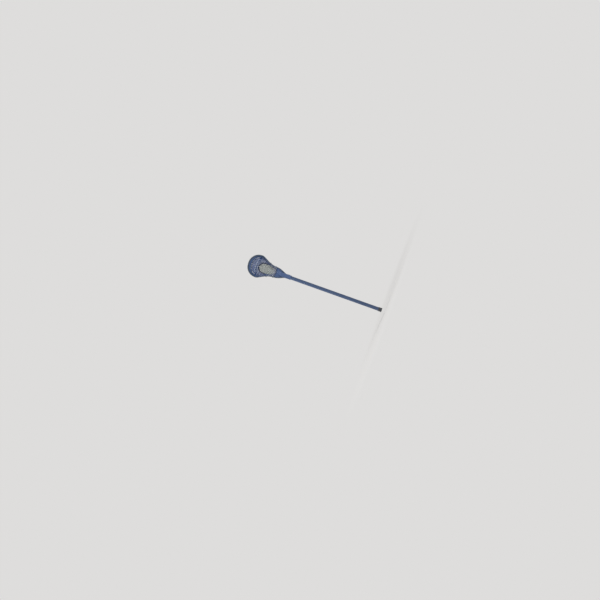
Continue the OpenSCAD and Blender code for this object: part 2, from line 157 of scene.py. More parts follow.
def outline(q):
    """The head's outline at q, as (x, s)."""
    q = np.asarray(q, float)
    a = np.abs(q)
    t = np.clip(a, 0, 1) * math.pi / 2
    scoop = np.stack([HEAD_HALF_WIDTH * np.sin(t) ** (2 / SCOOP_POWER),
                      WIDEST_S * (1 - np.clip(np.cos(t), 0, 1) ** (2 / SCOOP_POWER))], -1)
    side = bezier(SIDE_BEND, np.clip(a - 1, 0, 1))
    throat = bezier(THROAT_BEND, np.clip(a - 2, 0, 1))
    neck = mix(np.array(THROAT_BEND[3]), np.array(NECK_END), np.clip(a - 3, 0, 1)[..., None])
    a = a[..., None]
    p = np.where(a < 1, scoop, np.where(a < 2, side, np.where(a < 3, throat, neck)))
    return p * np.stack([np.where(q < 0, -1.0, 1.0), np.ones_like(q)], -1)


def inward(q):
    """The direction into the head from its outline, square to it."""
    d = 0.004
    v = unit(outline(q + d) - outline(q - d))
    return np.stack([-v[..., 1], v[..., 0]], -1)


def wall_at(s):
    """The wall's (direction from its front edge to its back, front edge y, length) at s."""
    w = smooth_through(s, WALL_SHAPE)
    v = np.stack([w[..., 1], w[..., 2] - w[..., 0]], -1)
    return unit(v), w[..., 0], np.linalg.norm(v, axis=-1)


def on_wall(q, u, h):
    """A place on the wall: u along it from its front edge, h outward from its middle."""
    q, u, h = np.broadcast_arrays(*(np.asarray(v, float) for v in (q, u, h)))
    o, n = outline(q), inward(q)
    d, y, _ = wall_at(o[..., 1])
    inset = np.max([d[..., 1] * b - d[..., 0] * a for a, b in RAIL_EDGE], axis=0)
    reach = d[..., 0] * u - d[..., 1] * h + inset
    return np.stack([o[..., 0] + n[..., 0] * reach, y + d[..., 1] * u + d[..., 0] * h,
                     STICK_LENGTH - o[..., 1] - n[..., 1] * reach], -1)


def by_back_edge(q, u, h):
    """The same, with u counted from the wall's back edge."""
    return on_wall(q, wall_at(outline(q)[..., 1])[2] + u, h)


def edge_directions(q):
    """The directions at the wall's back edge: out of the head, and on past the edge."""
    here = by_back_edge(q, 0, 0)
    return by_back_edge(q, 0, 1) - here, by_back_edge(q, 1, 0) - here


def mesh_edge(q):
    """The edge of the mesh: past the scoop's inner edge, and inside the sidewalls' rails."""
    a = np.abs(q)
    inset = RAIL_HALF + MESH_THICK / 2 + 0.6
    return by_back_edge(q, mix(1.9, -3, ease((a - 0.65) / 0.35)), -inset * ease((a - 0.4) / 0.4))


def pocket(u, v):
    """The pocket's surface: u from 0 at the left to 1 at the right, v from the scoop to the foot."""
    u, v = np.broadcast_arrays(np.asarray(u, float), np.asarray(v, float))
    right_top, right_foot = mesh_edge(np.array(CORNER_Q)), mesh_edge(np.array(FOOT_Q))
    flip = np.array([-1.0, 1, 1])
    foot_r = STOP_R - MESH_THICK / 2 - 1.2

    def flat(u, v):
        right = mesh_edge(mix(CORNER_Q, FOOT_Q, v))
        top = mesh_edge(mix(-CORNER_Q, CORNER_Q, u))
        x = right_foot[0] * (2 * u - 1)
        bow = np.sqrt(foot_r ** 2 - x ** 2) - math.sqrt(foot_r ** 2 - right_foot[0] ** 2)
        p = (mix(right * flip, right, u[..., None])
             + (1 - v)[..., None] * (top - mix(right_top * flip, right_top, u[..., None])))
        p[..., 2] -= v * bow
        return p

    p, middle = flat(u, v), flat(np.full_like(u, 0.5), v)
    swell = smooth_through(STICK_LENGTH - middle[..., 2], POCKET_LINE) - middle[..., 1]
    p[..., 1] += swell * (1 - np.abs(2 * u - 1) ** 2.3) ** 1.05
    return p


def pocket_normal(u, v):
    """The pocket's outward normal, away from the ball, taken a little in from the edges, because
    at its upper corners the top and the side run on in one line."""
    d = 0.01
    u, v = mix(0.5, np.asarray(u, float), 0.93), mix(0.5, np.asarray(v, float), 0.95)
    across = pocket(np.minimum(1, u + d), v) - pocket(np.maximum(0, u - d), v)
    down = pocket(u, np.minimum(1, v + d)) - pocket(u, np.maximum(0, v - d))
    return unit(np.cross(across, down))


def pocket_v(u, s):
    """The v at which the pocket, at each u, is s below the tip."""
    low, high = np.zeros_like(u), np.ones_like(u)
    for _ in range(18):
        v = (low + high) / 2
        above = STICK_LENGTH - pocket(u, v)[..., 2] < s
        low, high = np.where(above, v, low), np.where(above, high, v)
    return (low + high) / 2


def stop_arc(angle, r, y):
    """A point of the ball stop's arc, at an angle in degrees from its middle."""
    a = np.radians(angle)
    return np.stack([r * np.sin(a), np.full_like(a, y),
                     STICK_LENGTH - BALL_STOP_S + STOP_R - r * np.cos(a)], -1)


# ---- Meshes -------------------------------------------------------------------------


def add_object(name, data):
    """A new object in the scene, with this data."""
    made = bpy.data.objects.new(name, data)
    bpy.context.scene.collection.objects.link(made)
    return made


def shade(mesh, smooth):
    """Makes all the mesh's faces smooth or, if smooth is False, flat."""
    mesh.polygons.foreach_set("use_smooth", [smooth] * len(mesh.polygons))


def mesh_object(name, points, faces, uvs, smooth):
    """A new object from points in millimetres; uvs is one (x, y) for each corner of each face."""
    mesh = bpy.data.meshes.new(name)
    mesh.from_pydata((np.asarray(points) * MM).tolist(), [], faces)
    layer = mesh.uv_layers.new(name="strand")
    layer.uv.foreach_set("vector", np.asarray(uvs, np.float32).ravel())
    whole = bmesh.new()
    whole.from_mesh(mesh)
    bmesh.ops.recalc_face_normals(whole, faces=whole.faces)
    whole.to_mesh(mesh)
    whole.free()
    shade(mesh, smooth)
    return add_object(name, mesh)


class Builder:
    """Gathers tubes and lofts into one mesh, with a map of (round, along) on each."""

    def __init__(self):
        self.points, self.faces, self.uvs, self.count = [], [], [], 0

    def loft(self, rings, closed=False):
        """A solid through rings of the same number of points; closed joins the last to the first,
        and otherwise both ends are filled."""
        rings = np.asarray(rings, float)
        m, n = rings.shape[:2]
        steps = np.linalg.norm(np.diff(rings.mean(1), axis=0), axis=1)
        along = np.concatenate([[0], np.cumsum(steps)])
        for i in range(m if closed else m - 1):
            a, b = self.count + i * n, self.count + (i + 1) % m * n
            for j in range(n):
                k = (j + 1) % n
                self.faces.append((a + j, a + k, b + k, b + j))
                x0, x1, y0, y1 = (j + 0.5) / n, (j + 1.5) / n, along[i], along[min(i + 1, m - 1)]
                self.uvs += [(x0, y0), (x1, y0), (x1, y1), (x0, y1)]
        if not closed:
            for start, order in ((self.count, range(n - 1, -1, -1)),
                                 (self.count + (m - 1) * n, range(n))):
                self.faces.append(tuple(start + j for j in order))
                self.uvs += [(j / n, 0) for j in range(n)]
        self.points.append(rings.reshape(-1, 3))
        self.count += m * n

    def tube(self, path, up, wide, thick=None, sides=8, taper=0.0, square=1.0):
        """A tube along path; up is the direction its thickness faces, taper rounds its ends."""
        path, up = np.asarray(path, float), np.asarray(up, float)
        t = unit(np.gradient(path, axis=0))
        side = unit(np.cross(t, np.broadcast_to(up, path.shape)))
        up = np.cross(side, t)
        thick = wide if thick is None else thick
        a = (np.arange(sides) + 0.5) * 2 * math.pi / sides
        c, s = (np.sign(f) * np.abs(f) ** square for f in (np.cos(a), np.sin(a)))
        size = np.ones(len(path))
        if taper:
            step = np.linalg.norm(np.diff(path, axis=0), axis=1)
            far = np.concatenate([[0], np.cumsum(step)])
            near = np.minimum(far, far[-1] - far) / taper
            size = np.sqrt(np.clip(1 - (1 - np.clip(near, 0, 1)) ** 2, 0.02, 1))
        wide, thick = (np.broadcast_to(w, size.shape) * size for w in (wide, thick))
        rings = (path[:, None] + side[:, None] * (c[None, :, None] * wide[:, None, None] / 2)
                 + up[:, None] * (s[None, :, None] * thick[:, None, None] / 2))
        self.loft(rings)

    def made(self, name, smooth=True):
        return mesh_object(name, np.concatenate(self.points), self.faces, self.uvs, smooth)


def built(name, *fills, smooth=False):
    """One mesh of all that the fills add to a Builder."""
    b = Builder()
    for fill in fills:
        fill(b)
    return b.made(name, smooth)


def apply_modifiers(obj):
    """Replaces the object's mesh by what its modifiers make of it."""
    bpy.context.view_layer.update()
    done = bpy.data.meshes.new_from_object(obj.evaluated_get(bpy.context.evaluated_depsgraph_get()))
    obj.modifiers.clear()
    obj.data = done


def delete(*objs):
    """Removes the objects from the scene."""
    for o in objs:
        bpy.data.objects.remove(o)


def cut_away(obj, *cutters):
    """Takes the cutters out of the object, and removes them."""
    for i, cutter in enumerate(cutters):
        m = obj.modifiers.new(f"cut{i}", "BOOLEAN")
        m.operation, m.solver, m.object = "DIFFERENCE", "EXACT", cutter
    apply_modifiers(obj)
    delete(*cutters)


def octagon_ring(grow, z, scale=1.0, steps=6):
    """The shaft's outline with rounded corners, larger all round by grow, at height z."""
    x, y = SHAFT_X / 2 + grow, SHAFT_Y / 2 + grow
    c, r = SHAFT_CORNER + grow * (2 - math.sqrt(2)), SHAFT_ROUND + grow
    corners = [(x, y - c), (x - c, y), (c - x, y), (-x, y - c),
               (-x, c - y), (c - x, -y), (x - c, -y), (x, c - y)]
    ring = []
    for i, p in enumerate(corners):
        n1, n2 = (np.array([math.cos(a), math.sin(a)]) for a in np.radians([45 * i, 45 * i + 45]))
        centre = np.array(p) - r * (n1 + n2) / (1 + n1 @ n2)
        for k in range(steps + 1):
            a = math.radians(45 * (i + k / steps))
            ring.append([*((centre + r * np.array([math.cos(a), math.sin(a)])) * scale), z])
    return ring


def cylinder(start, end, r, sides=48):
    """The two rings of a straight cylinder."""
    start, end = np.array(start, float), np.array(end, float)
    t = unit(end - start)
    side = unit(np.cross(t, [0.3, 0.2, 1.0] if abs(t[2]) < 0.9 else [1.0, 0, 0]))
    up = np.cross(side, t)
    a = np.arange(sides) * 2 * math.pi / sides
    around = np.cos(a)[:, None] * side + np.sin(a)[:, None] * up
    return [start + around * r, end + around * r]


def screw_cylinder(b, low_x, high_x, r):
    """A cylinder on the screw's axis."""
    b.loft(cylinder((low_x, 0, SCREW_Z), (high_x, 0, SCREW_Z), r))


# ---- Materials ----------------------------------------------------------------------


def srgb(r, g, b):
    """A colour written as it looks on a screen, made linear."""
    return (*(c / 255 / 12.92 if c < 10.3 else ((c / 255 + 0.055) / 1.055) ** 2.4 for c in (r, g, b)), 1)


class Nodes:
    """A node tree, with short ways to add nodes to it and join them."""

    def __init__(self, data):
        data.use_nodes = True
        self.data, self.tree = data, data.node_tree

    def join(self, value, node, socket):
        """Feeds an output to a socket of a node that is there already."""
        self.tree.links.new(value, self.tree.nodes[node].inputs[socket])

    def node(self, kind, inputs, out=0, **settings):
        """A new node's output. inputs gives each socket its value, or the output that feeds it."""
        n = self.tree.nodes.new("ShaderNode" + kind)
        for key, value in settings.items():
            setattr(n, key, value)
        for key, value in inputs.items():
            if isinstance(value, bpy.types.NodeSocket):
                self.tree.links.new(value, n.inputs[key])
            else:
                n.inputs[key].default_value = value
        return n.outputs[out]

    def maths(self, operation, *values):
        return self.node("Math", dict(enumerate(values)), operation=operation)

    def times(self, a, b):
        return self.maths("MULTIPLY", a, b)

    def plus(self, a, b):
        return self.maths("ADD", a, b)

    def zigzag(self, value):
        """From 0.5 at each whole number down to 0 half way between them."""
        return self.maths("ABSOLUTE", self.maths("SUBTRACT", self.maths("FRACT", value), 0.5))

    def wave(self, value):
        """A sine wave that starts again at each whole number."""
        return self.maths("SINE", self.times(value, 2 * math.pi))

    def between(self, value, low, high, to=(0.0, 1.0)):
        """value's range from low to high, spread over the range to."""
        return self.node("MapRange", {"Value": value, "From Min": low, "From Max": high,
                                      "To Min": to[0], "To Max": to[1]}, interpolation_type="SMOOTHSTEP")


class Material(Nodes):
    """A node material round one Principled shader, whose plain values go on its own sockets."""

    def __init__(self, name, **plain):
        super().__init__(bpy.data.materials.new(name))
        for socket, value in plain.items():
            self.tree.nodes["Principled BSDF"].inputs[socket.replace("_", " ")].default_value = value

    def place(self, stretch=(1, 1, 1)):
        """The place on the part, in millimetres, squeezed by stretch."""
        where = self.node("TexCoord", {}, "Object")
        scale = tuple(1000 * k for k in stretch)
        return self.node("Mapping", {"Vector": where, "Scale": scale})

    def noise(self, size, detail=2.0, stretch=(1, 1, 1)):
        """Noise whose lumps are about size millimetres."""
        return self.node("TexNoise", {"Vector": self.place(stretch), "Scale": 1 / size, "Detail": detail})

    def cells(self, size):
        """The distance from the middle of the nearest cell of about size millimetres."""
        return self.node("TexVoronoi", {"Vector": self.place(), "Scale": 1 / size}, "Distance")

    def mark(self, name):
        """A number kept on each of the mesh's points."""
        return self.node("Attribute", {}, "Fac", attribute_name=name)

    def mix(self, factor, a, b):
        """Colour a where factor is 0, colour b where it is 1."""
        return self.node("Mix", {0: factor, 6: a, 7: b}, 2, data_type="RGBA")

    def strand(self, out):
        """The place on a cord: X round it from 0 to 1, Y along it in millimetres."""
        where = self.node("UVMap", {}, uv_map="strand")
        return self.node("SeparateXYZ", {"Vector": where}, out)

    def finish(self, colour, roughness, height, depth):
        """Joins the looks to the shader; height moves the surface by up to depth millimetres."""
        normal = self.node("Bump", {"Height": height, "Distance": depth * MM, "Strength": 1.0})
        for socket, value in (("Base Color", colour), ("Roughness", roughness), ("Normal", normal)):
            self.join(value, "Principled BSDF", socket)
        return self.data


def head_plastic():
    """Moulded nylon: royal blue with darker rails, a fine texture and scuffs on its edges."""
    m = Material("head_nylon", IOR=1.48, Coat_Weight=0.08, Coat_Roughness=0.35)
    cloud = m.noise(60, 3)
    base = m.mix(cloud, srgb(52, 73, 113), srgb(60, 82, 122))
    colour = m.mix(m.mark("rail"), base, srgb(56, 70, 86))
    scratches = m.between(m.noise(1.6, 4, (1, 1, 0.12)), 0.60, 0.70)
    worn = m.times(scratches, m.mark("wear"))
    colour = m.mix(m.times(worn, 0.55), colour, srgb(150, 162, 186))
    grain = m.noise(0.5, 2)
    roughness = m.between(m.plus(m.times(grain, 0.4), worn), 0, 1.2, (0.37, 0.7))
    height = m.maths("SUBTRACT", m.times(grain, 0.5), worn)
    return m.finish(colour, roughness, height, 0.05)


def stop_foam():
    """Closed-cell foam: dark navy, matt, with small pits that hold painted shade."""
    m = Material("stop_foam", Sheen_Weight=0.25, Sheen_Roughness=0.6)
    pits = m.between(m.cells(0.9), 0.12, 0.42)
    lumps = m.noise(5, 3)
    # Darkest at the middle of each pit, where it sinks: painted shade.
    colour = m.mix(pits, srgb(24, 30, 44), srgb(46, 56, 78))
    colour = m.mix(m.times(lumps, 0.35), colour, srgb(64, 74, 96))
    roughness = m.between(pits, 0, 1, (1.0, 0.85))
    return m.finish(colour, roughness, m.plus(pits, m.times(lumps, 1.5)), 0.22)


def screw_steel():
    """Zinc-plated steel with turning marks."""
    m = Material("screw_steel", Metallic=1.0)
    bright = m.noise(1.2, 3)
    turned = m.noise(0.12, 1, (1, 0.1, 0.1))
    colour = m.mix(bright, srgb(186, 190, 196), srgb(160, 166, 176))
    return m.finish(colour, m.between(bright, 0.3, 0.7, (0.22, 0.42)), turned, 0.02)


def shaft_alloy():
    """Satin navy anodising on a drawn tube: fine lines along it, and its corners worn paler."""
    m = Material("shaft_alloy", Metallic=0.85, Coat_Weight=0.15, Coat_Roughness=0.25)
    drawn = m.noise(0.35, 2, (1, 1, 0.012))
    cloud = m.noise(45, 2, (1, 1, 0.4))
    base = m.mix(cloud, srgb(62, 78, 108), srgb(72, 90, 122))
    base = m.mix(m.times(drawn, 0.5), base, srgb(90, 106, 136))
    rubbed = m.between(m.noise(2.2, 4, (1, 1, 0.25)), 0.50, 0.66)
    worn = m.times(rubbed, m.mark("corner"))
    dents = m.between(m.noise(9, 5), 0.68, 0.74)
    colour = m.mix(m.times(worn, 0.6), base, srgb(176, 184, 196))
    colour = m.mix(m.times(dents, 0.3), colour, srgb(150, 160, 180))
    roughness = m.between(m.plus(drawn, m.times(worn, -0.5)), 0, 1, (0.24, 0.46))
    return m.finish(colour, roughness, m.plus(drawn, m.times(dents, -2.0)), 0.012)


def cap_rubber():
    """Moulded rubber: near black, with a fine pebble grain and dust in its grooves."""
    m = Material("cap_rubber", Sheen_Weight=0.15, Sheen_Roughness=0.5)
    pebble = m.cells(0.55)
    dust = m.between(m.noise(3, 4), 0.45, 0.75)
    dust = m.plus(m.times(m.mark("groove"), 0.6), m.times(dust, 0.25))
    colour = m.mix(m.times(dust, 0.45), srgb(36, 41, 49), srgb(104, 107, 112))
    return m.finish(colour, m.between(dust, 0, 1, (0.58, 0.9)), pebble, 0.09)


def braid(m, turns, pitch):
    """The over and under of a round braid: high on top of each crossing tuft."""
    x, y = m.strand("X"), m.strand("Y")
    around, along = m.times(x, turns), m.maths("DIVIDE", y, pitch)
    waves = [m.wave(m.maths(sign, around, along)) for sign in ("ADD", "SUBTRACT")]
    return m.between(m.times(waves[0], waves[1]), -0.8, 0.8)


def lacing_cord():
    """Round braided nylon cord: off white, with a blue tracer tuft now and then, and painted shade between
    the tufts.
    """
    m = Material("lacing_cord", Sheen_Weight=0.3, Sheen_Roughness=0.4)
    tufts = braid(m, 3.0, 2.6)
    fibres = m.node("TexWave", {"Vector": m.node("UVMap", {}, uv_map="strand"), "Scale": 3.0,
                                "Distortion": 2.0}, "Fac")
    # Blue-grey where the braid dips between tufts: painted shade.
    base = m.mix(tufts, srgb(108, 122, 146), srgb(196, 204, 214))
    turn = m.plus(m.strand("X"), m.maths("DIVIDE", m.strand("Y"), 7.8))
    tracer = m.between(m.zigzag(turn), 0.07, 0.03)
    colour = m.mix(m.times(tracer, 0.8), base, srgb(66, 88, 140))
    height = m.plus(tufts, m.times(fibres, 0.2))
    return m.finish(colour, m.between(fibres, 0, 1, (0.7, 0.85)), height, 0.28)


def mesh_cord():
    """Knitted mesh strand: rows of small stitches, dyed navy, cream over the pocket, with painted shade in
    the hollows between the stitches.
    """
    m = Material("mesh_cord", Sheen_Weight=0.08, Sheen_Roughness=0.5)
    x, y = m.strand("X"), m.strand("Y")
    vee = m.zigzag(m.times(x, 4.0))
    stitch = m.between(m.wave(m.plus(m.maths("DIVIDE", y, 1.7), vee)), -0.8, 0.8)
    soil = m.noise(16, 3)
    # Both colours are darker where the stitches dip: painted shade between the stitches.
    navy = m.mix(stitch, srgb(28, 45, 84), srgb(57, 84, 136))
    cream = m.mix(stitch, srgb(70, 82, 84), srgb(165, 174, 166))
    colour = m.mix(m.mark("cream"), navy, cream)
    colour = m.mix(m.times(m.between(soil, 0.5, 0.8), 0.3), colour, srgb(96, 98, 96))
    return m.finish(colour, m.between(stitch, 0, 1, (0.9, 0.72)), stitch, 0.22)


def shooting_lace(name, dark, light, tracer):
    """Flat woven lace: a herringbone of light ridges with painted shade in the weave's low places, and a
    band of tracer along each edge.
    """
    m = Material(name, Sheen_Weight=0.3, Sheen_Roughness=0.4)
    x, y = m.strand("X"), m.strand("Y")
    fold = m.zigzag(m.times(x, 6.0))
    phase = m.plus(m.maths("DIVIDE", y, 1.1), m.times(fold, 1.6))
    weave = m.between(m.wave(phase), -0.7, 0.7)
    ribs = m.times(fold, 2.0)
    # The dark colour goes where the weave dips, on the lace and on its tracer: painted shade.
    colour = m.mix(weave, dark, light)
    edge = m.zigzag(m.times(x, 2.0))
    colour = m.mix(m.between(edge, 0.085, 0.1), colour, m.mix(weave, *tracer))
    return m.finish(colour, m.between(weave, 0, 1, (0.88, 0.7)), m.plus(weave, ribs), 0.16)


# ---- Camera, from the image points --------------------------------------------------

LENS, SENSOR, CLIP_END = 100.0, 36.0, 100
PX_PER_UNIT = max(IMAGE_W, IMAGE_H) * LENS / SENSOR


def aim_camera():
    """A camera in front of the stick's face, rolled and placed so that tip and butt meet
    their points."""
    (x0, y0), (x1, y1) = POINTS["tip"], POINTS["butt"]
    span = math.hypot(x1 - x0, y1 - y0)
    along, across = (x1 - x0) / span, (y1 - y0) / span
    right, up, back = Vector((across, 0, -along)), Vector((along, 0, across)), Vector((0, -1, 0))
    away = PX_PER_UNIT * STICK_LENGTH * MM / span
    off_x = ((x0 + x1) / 2 - IMAGE_W / 2) * away / PX_PER_UNIT
    off_y = (IMAGE_H / 2 - (y0 + y1) / 2) * away / PX_PER_UNIT
    centre = Vector((0, 0, STICK_LENGTH * MM / 2)) - right * off_x - up * off_y + back * away
    data = bpy.data.cameras.new("camera")
    data.lens, data.sensor_width, data.clip_end = LENS, SENSOR, CLIP_END
    camera = add_object("camera", data)
    camera.matrix_world = Matrix.Translation(centre) @ Matrix((right, up, back)).transposed().to_4x4()
    bpy.context.scene.camera = camera
    return camera


# The distances from the camera at which a ray that misses is searched, in millimetres
SEARCHED = range(11000, 13000, 5)


def through(point, tree):
    """Where the ray through an image point meets tree, in metres; on a miss, the place nearest it."""
    m = camera.matrix_world
    shift_x, shift_y, long = camera.data.shift_x, camera.data.shift_y, max(IMAGE_W, IMAGE_H)
    ray = m.to_3x3() @ Vector((point[0] - IMAGE_W / 2 + shift_x * long,
                               IMAGE_H / 2 - point[1] + shift_y * long,
                               -long * camera.data.lens / camera.data.sensor_width)).normalized()
    start = m.translation
    hit = tree.ray_cast(start, ray)[0]
    if hit is None:
        steps = [start + ray * (away * MM) for away in SEARCHED]
        hit = min((tree.find_nearest(p) for p in steps), key=lambda found: found[3])[0]
    return hit


camera = aim_camera()

# ---- Head ---------------------------------------------------------------------------


def wall_section(long):
    """The wall's outline in (u, h): a rounded rail at each edge and a thinner web between."""
    u = np.array([0, 0.25, 0.8, 1.7, 2.8, 4, 5.2, 6.4, 7.6, 9])
    rail = RAIL_HALF * np.clip(1 - ((4 - u[:6]) / 4) ** 2.6, 0.0, 1) ** 0.5
    h = np.concatenate([np.maximum(rail, 0.5), mix(RAIL_HALF, WEB_HALF, ease((u[6:] - 4) / 5))])
    side = list(zip(u, h)) + [(long - a, b) for a, b in zip(u[::-1], h[::-1])]
    return np.array(side + [(a, -b) for a, b in side[::-1]])


def wall(b):
    """The wall all the way, from the neck's left side round the scoop to its right side."""
    one_side = np.linspace(0, 4, 221)
    rings = []
    for q in np.concatenate([-one_side[:0:-1], one_side]):
        u, h = wall_section(wall_at(outline(q)[1])[2]).T
        rings.append(on_wall(np.full_like(u, q), u, h))
    b.loft(rings)


def side_hole(i):
    """Where along the right sidewall its string hole i is."""
    return mix(*SIDE_HOLE_Q, i / (SIDE_HOLES - 1))


def string_holes(b):
    """Cutters for the string holes through the wall."""
    scoop = [mix(-SCOOP_HOLE_Q, SCOOP_HOLE_Q, i / (SCOOP_HOLES - 1)) for i in range(SCOOP_HOLES)]
    side = [side_hole(i) for i in range(SIDE_HOLES)]
    for q in scoop + side + [-q for q in side]:
        ends = (by_back_edge(q, -HOLE_INSET, -6), by_back_edge(q, -HOLE_INSET, 6))
        b.loft(cylinder(*ends, HOLE_R, sides=24))


def rounded(points, r, steps=4):
    """A polygon with its corners rounded over a length r of each side."""
    points, out = np.array(points, float), []
    for i, p in enumerate(points):
        before, after = (p + r * unit(points[(i + k) % len(points)] - p) for k in (-1, 1))
        for t in np.linspace(0, 1, steps + 1):
            out.append((1 - t) ** 2 * before + 2 * t * (1 - t) * p + t * t * after)
    return np.array(out)


def box_corners(x0, x1, y0, y1):
    """A rectangle's corners, in order."""
    return [(x0, y0), (x1, y0), (x1, y1), (x0, y1)]


def prism(b, axis, polygon, low, high):
    """A solid polygon in the other two axes, in order, drawn from low to high along axis."""
    polygon = np.asarray(polygon, float)
    b.loft([np.insert(polygon, axis, height, axis=1) for height in (low, high)])


def stop_bar(b):
    """The ball stop's wall: a rounded bar along its arc."""
    section = rounded(box_corners(STOP_R, STOP_R + STOP_THICK, *STOP_Y), STOP_ROUND)
    b.loft([np.array([stop_arc(a, r, y) for r, y in section])
            for a in np.linspace(-STOP_HALF_ANGLE, STOP_HALF_ANGLE, 73)])


def stop_holes(b):
    """Cutters for the string holes through the ball stop."""
    z = STICK_LENGTH - BALL_STOP_S
    for x in STOP_HOLE_X:
        b.loft(cylinder((x, STOP_HOLE_Y, z - 8), (x, STOP_HOLE_Y, z + 16), HOLE_R, sides=24))


WINDOW_COUNT, WINDOW_S, WINDOW_STRUT, WINDOW_INSET, WINDOW_DROP, WINDOW_ROUND = 5, (96, 192), 5, 9, 3, 3.5


def sidewall_windows(b):
    """Cutters for the windows in both sidewalls."""
    def corner(s, from_edge, drop=0.0):
        d, y, long = wall_at(np.array(float(s)))
        return y + d[1] * (long + from_edge if from_edge < 0 else from_edge), STICK_LENGTH - s - drop

    pitch = (WINDOW_S[1] - WINDOW_S[0] + WINDOW_STRUT) / WINDOW_COUNT
    for i in range(WINDOW_COUNT):
        low = WINDOW_S[0] + i * pitch
        high = low + pitch - WINDOW_STRUT
        front = [corner(s, WINDOW_INSET) for s in (high, low)]
        back = [corner(s, -WINDOW_INSET, WINDOW_DROP) for s in (high, low)]
        window = rounded([front[0], back[0], back[1], front[1]], WINDOW_ROUND)
        prism(b, 0, window, -HEAD_HALF_WIDTH - 10, HEAD_HALF_WIDTH + 10)


THROAT_Q, THROAT_INSET, THROAT_Y = (2.04, 3), 4.5, (-5, 8)
# The throat's spine and its gusset, as (s, y) all round, and half the thickness of each
SPINE = [(219, -4), (228, -7.5), (262, -9.5), (292, -13.5), (300, -13.5), (300, 0), (219, 0)]
GUSSET = [(216, 4), (216, 27), (224, 24), (250, 15), (280, 13.5), (300, 13.5), (300, 4)]
SPINE_HALF, GUSSET_HALF = 1.9, 1.7
# Its ribs: straight across at s, and slanting from one s to another, up to a back y
CROSS_RIBS, CROSS_HALF = ((238, 17), (258, 14)), 1.5
SLANT_RIBS, SLANT_THICK = ((220, 238, 16), (239, 257, 13)), 2.6


def throat_half(s):
    """Half the throat's inside width at s."""
    o = outline(np.linspace(2, 3, 60))
    return np.interp(s, o[:, 1], o[:, 0]) - THROAT_INSET


def throat(b):
    """The throat's plate, with a spine down its front, and a gusset and ribs behind."""
    q = np.linspace(*THROAT_Q, 30)
    o, n = outline(q), inward(q)
    edge = np.stack([o[:, 0] + n[:, 0] * THROAT_INSET,
                     STICK_LENGTH - o[:, 1] - n[:, 1] * THROAT_INSET], -1)
    arc = stop_arc(np.linspace(36, -36, 25), STOP_R + STOP_THICK / 2, 0)[:, [0, 2]]
    prism(b, 1, np.concatenate([edge * (-1, 1), edge[::-1], arc]), *THROAT_Y)

    for plate, half in ((SPINE, SPINE_HALF), (GUSSET, GUSSET_HALF)):
        prism(b, 0, [(y, STICK_LENGTH - s) for s, y in plate], -half, half)
    for s, back in CROSS_RIBS:
        half, z = throat_half(s) + 2, STICK_LENGTH - s
        prism(b, 2, box_corners(-half, half, 4, back), z - CROSS_HALF, z + CROSS_HALF)
    for side in (-1, 1):
        for s0, s1, back in SLANT_RIBS:
            ends = ((throat_half(s0) * 0.9, s0), (1, s1))
            path = [(side * x, back / 2 + 2, STICK_LENGTH - s) for x, s in ends]
            b.tube(path, (0, 1, 0), SLANT_THICK, back - 2, sides=4)


SOCKET_ROUND, SOCKET_ROOF, BOSS_R, BOSS_X, SOCKET_GAP = 5.0, 9.0, 7.0, 17.0, 0.1
LIP_GROW, LIP_HEIGHT, BAND_GROW, BAND_Z = 1.1, 5, 0.8, (SCREW_Z + 14, SCREW_Z + 17)
FLUTE_X, FLUTE_HALF, FLUTE_RISE, FLUTE_Z = (-7, 0, 7), 1.1, 0.8, (SOCKET_MOUTH_Z + 9, SCREW_Z + 11)
# The tongue's sections, as (rise, half width, front y, back y, roundness)
TONGUE = ((0, 15.5, -14.3, 14.3, 5), (7, 13.8, -13.2, 13.6, 5), (15, 11, -10.6, 12, 4),
          (23, 7.5, -7.6, 9.6, 3), (30, 4, -5, 7.5, 1.5))


def socket(b):
    """The socket round the shaft's end: lip, band, raised flutes, the screw's boss, and a tongue
    that runs into the throat."""
    def sleeve(grow, low, high):
        x, y = SOCKET_X / 2 + grow, SOCKET_Y / 2 + grow
        prism(b, 2, rounded(box_corners(-x, x, -y, y), SOCKET_ROUND, 6), low, high)

    sleeve(0, SOCKET_MOUTH_Z, SHAFT_END_Z + SOCKET_ROOF)
    sleeve(LIP_GROW, SOCKET_MOUTH_Z, SOCKET_MOUTH_Z + LIP_HEIGHT)
    sleeve(BAND_GROW, *BAND_Z)
    for x in FLUTE_X:
        for side in (-1, 1):
            y = sorted((side * 10.0, side * (SOCKET_Y / 2 + FLUTE_RISE)))
            prism(b, 2, box_corners(x - FLUTE_HALF, x + FLUTE_HALF, *y), *FLUTE_Z)
    screw_cylinder(b, 0, BOSS_X, BOSS_R)
    foot = SHAFT_END_Z + SOCKET_ROOF - 2
    b.loft([np.insert(rounded(box_corners(-x, x, y0, y1), r, 6), 2, foot + rise, axis=1)
            for rise, x, y0, y1, r in TONGUE])


def scoop_ridges(b):
    """Ribs that follow the scoop on its inner face."""
    for u, reach in ((12, 0.86), (17, 0.74), (22, 0.55)):
        q = np.linspace(-reach, reach, 120)
        b.tube(on_wall(q, u, -WEB_HALF), on_wall(q, u, -WEB_HALF - 1) - on_wall(q, u, -WEB_HALF),
               2.4, 1.6, taper=8)


def shaft_fit(b):
    """A cutter for the shaft's place in the socket."""
    b.loft([octagon_ring(SOCKET_GAP, z) for z in (SOCKET_MOUTH_Z - 2, SHAFT_END_Z)])


def screw_bore(b):
    """A cutter for the screw's bore through the boss."""
    screw_cylinder(b, 9, BOSS_X + 3, SCREW_R + BORE_GAP)


def screw_seat(b):
    """A cutter for the seat of the screw's head."""
    screw_cylinder(b, SCREW_SEAT_X, BOSS_X + 4, SCREW_HEAD_R + SEAT_GAP)


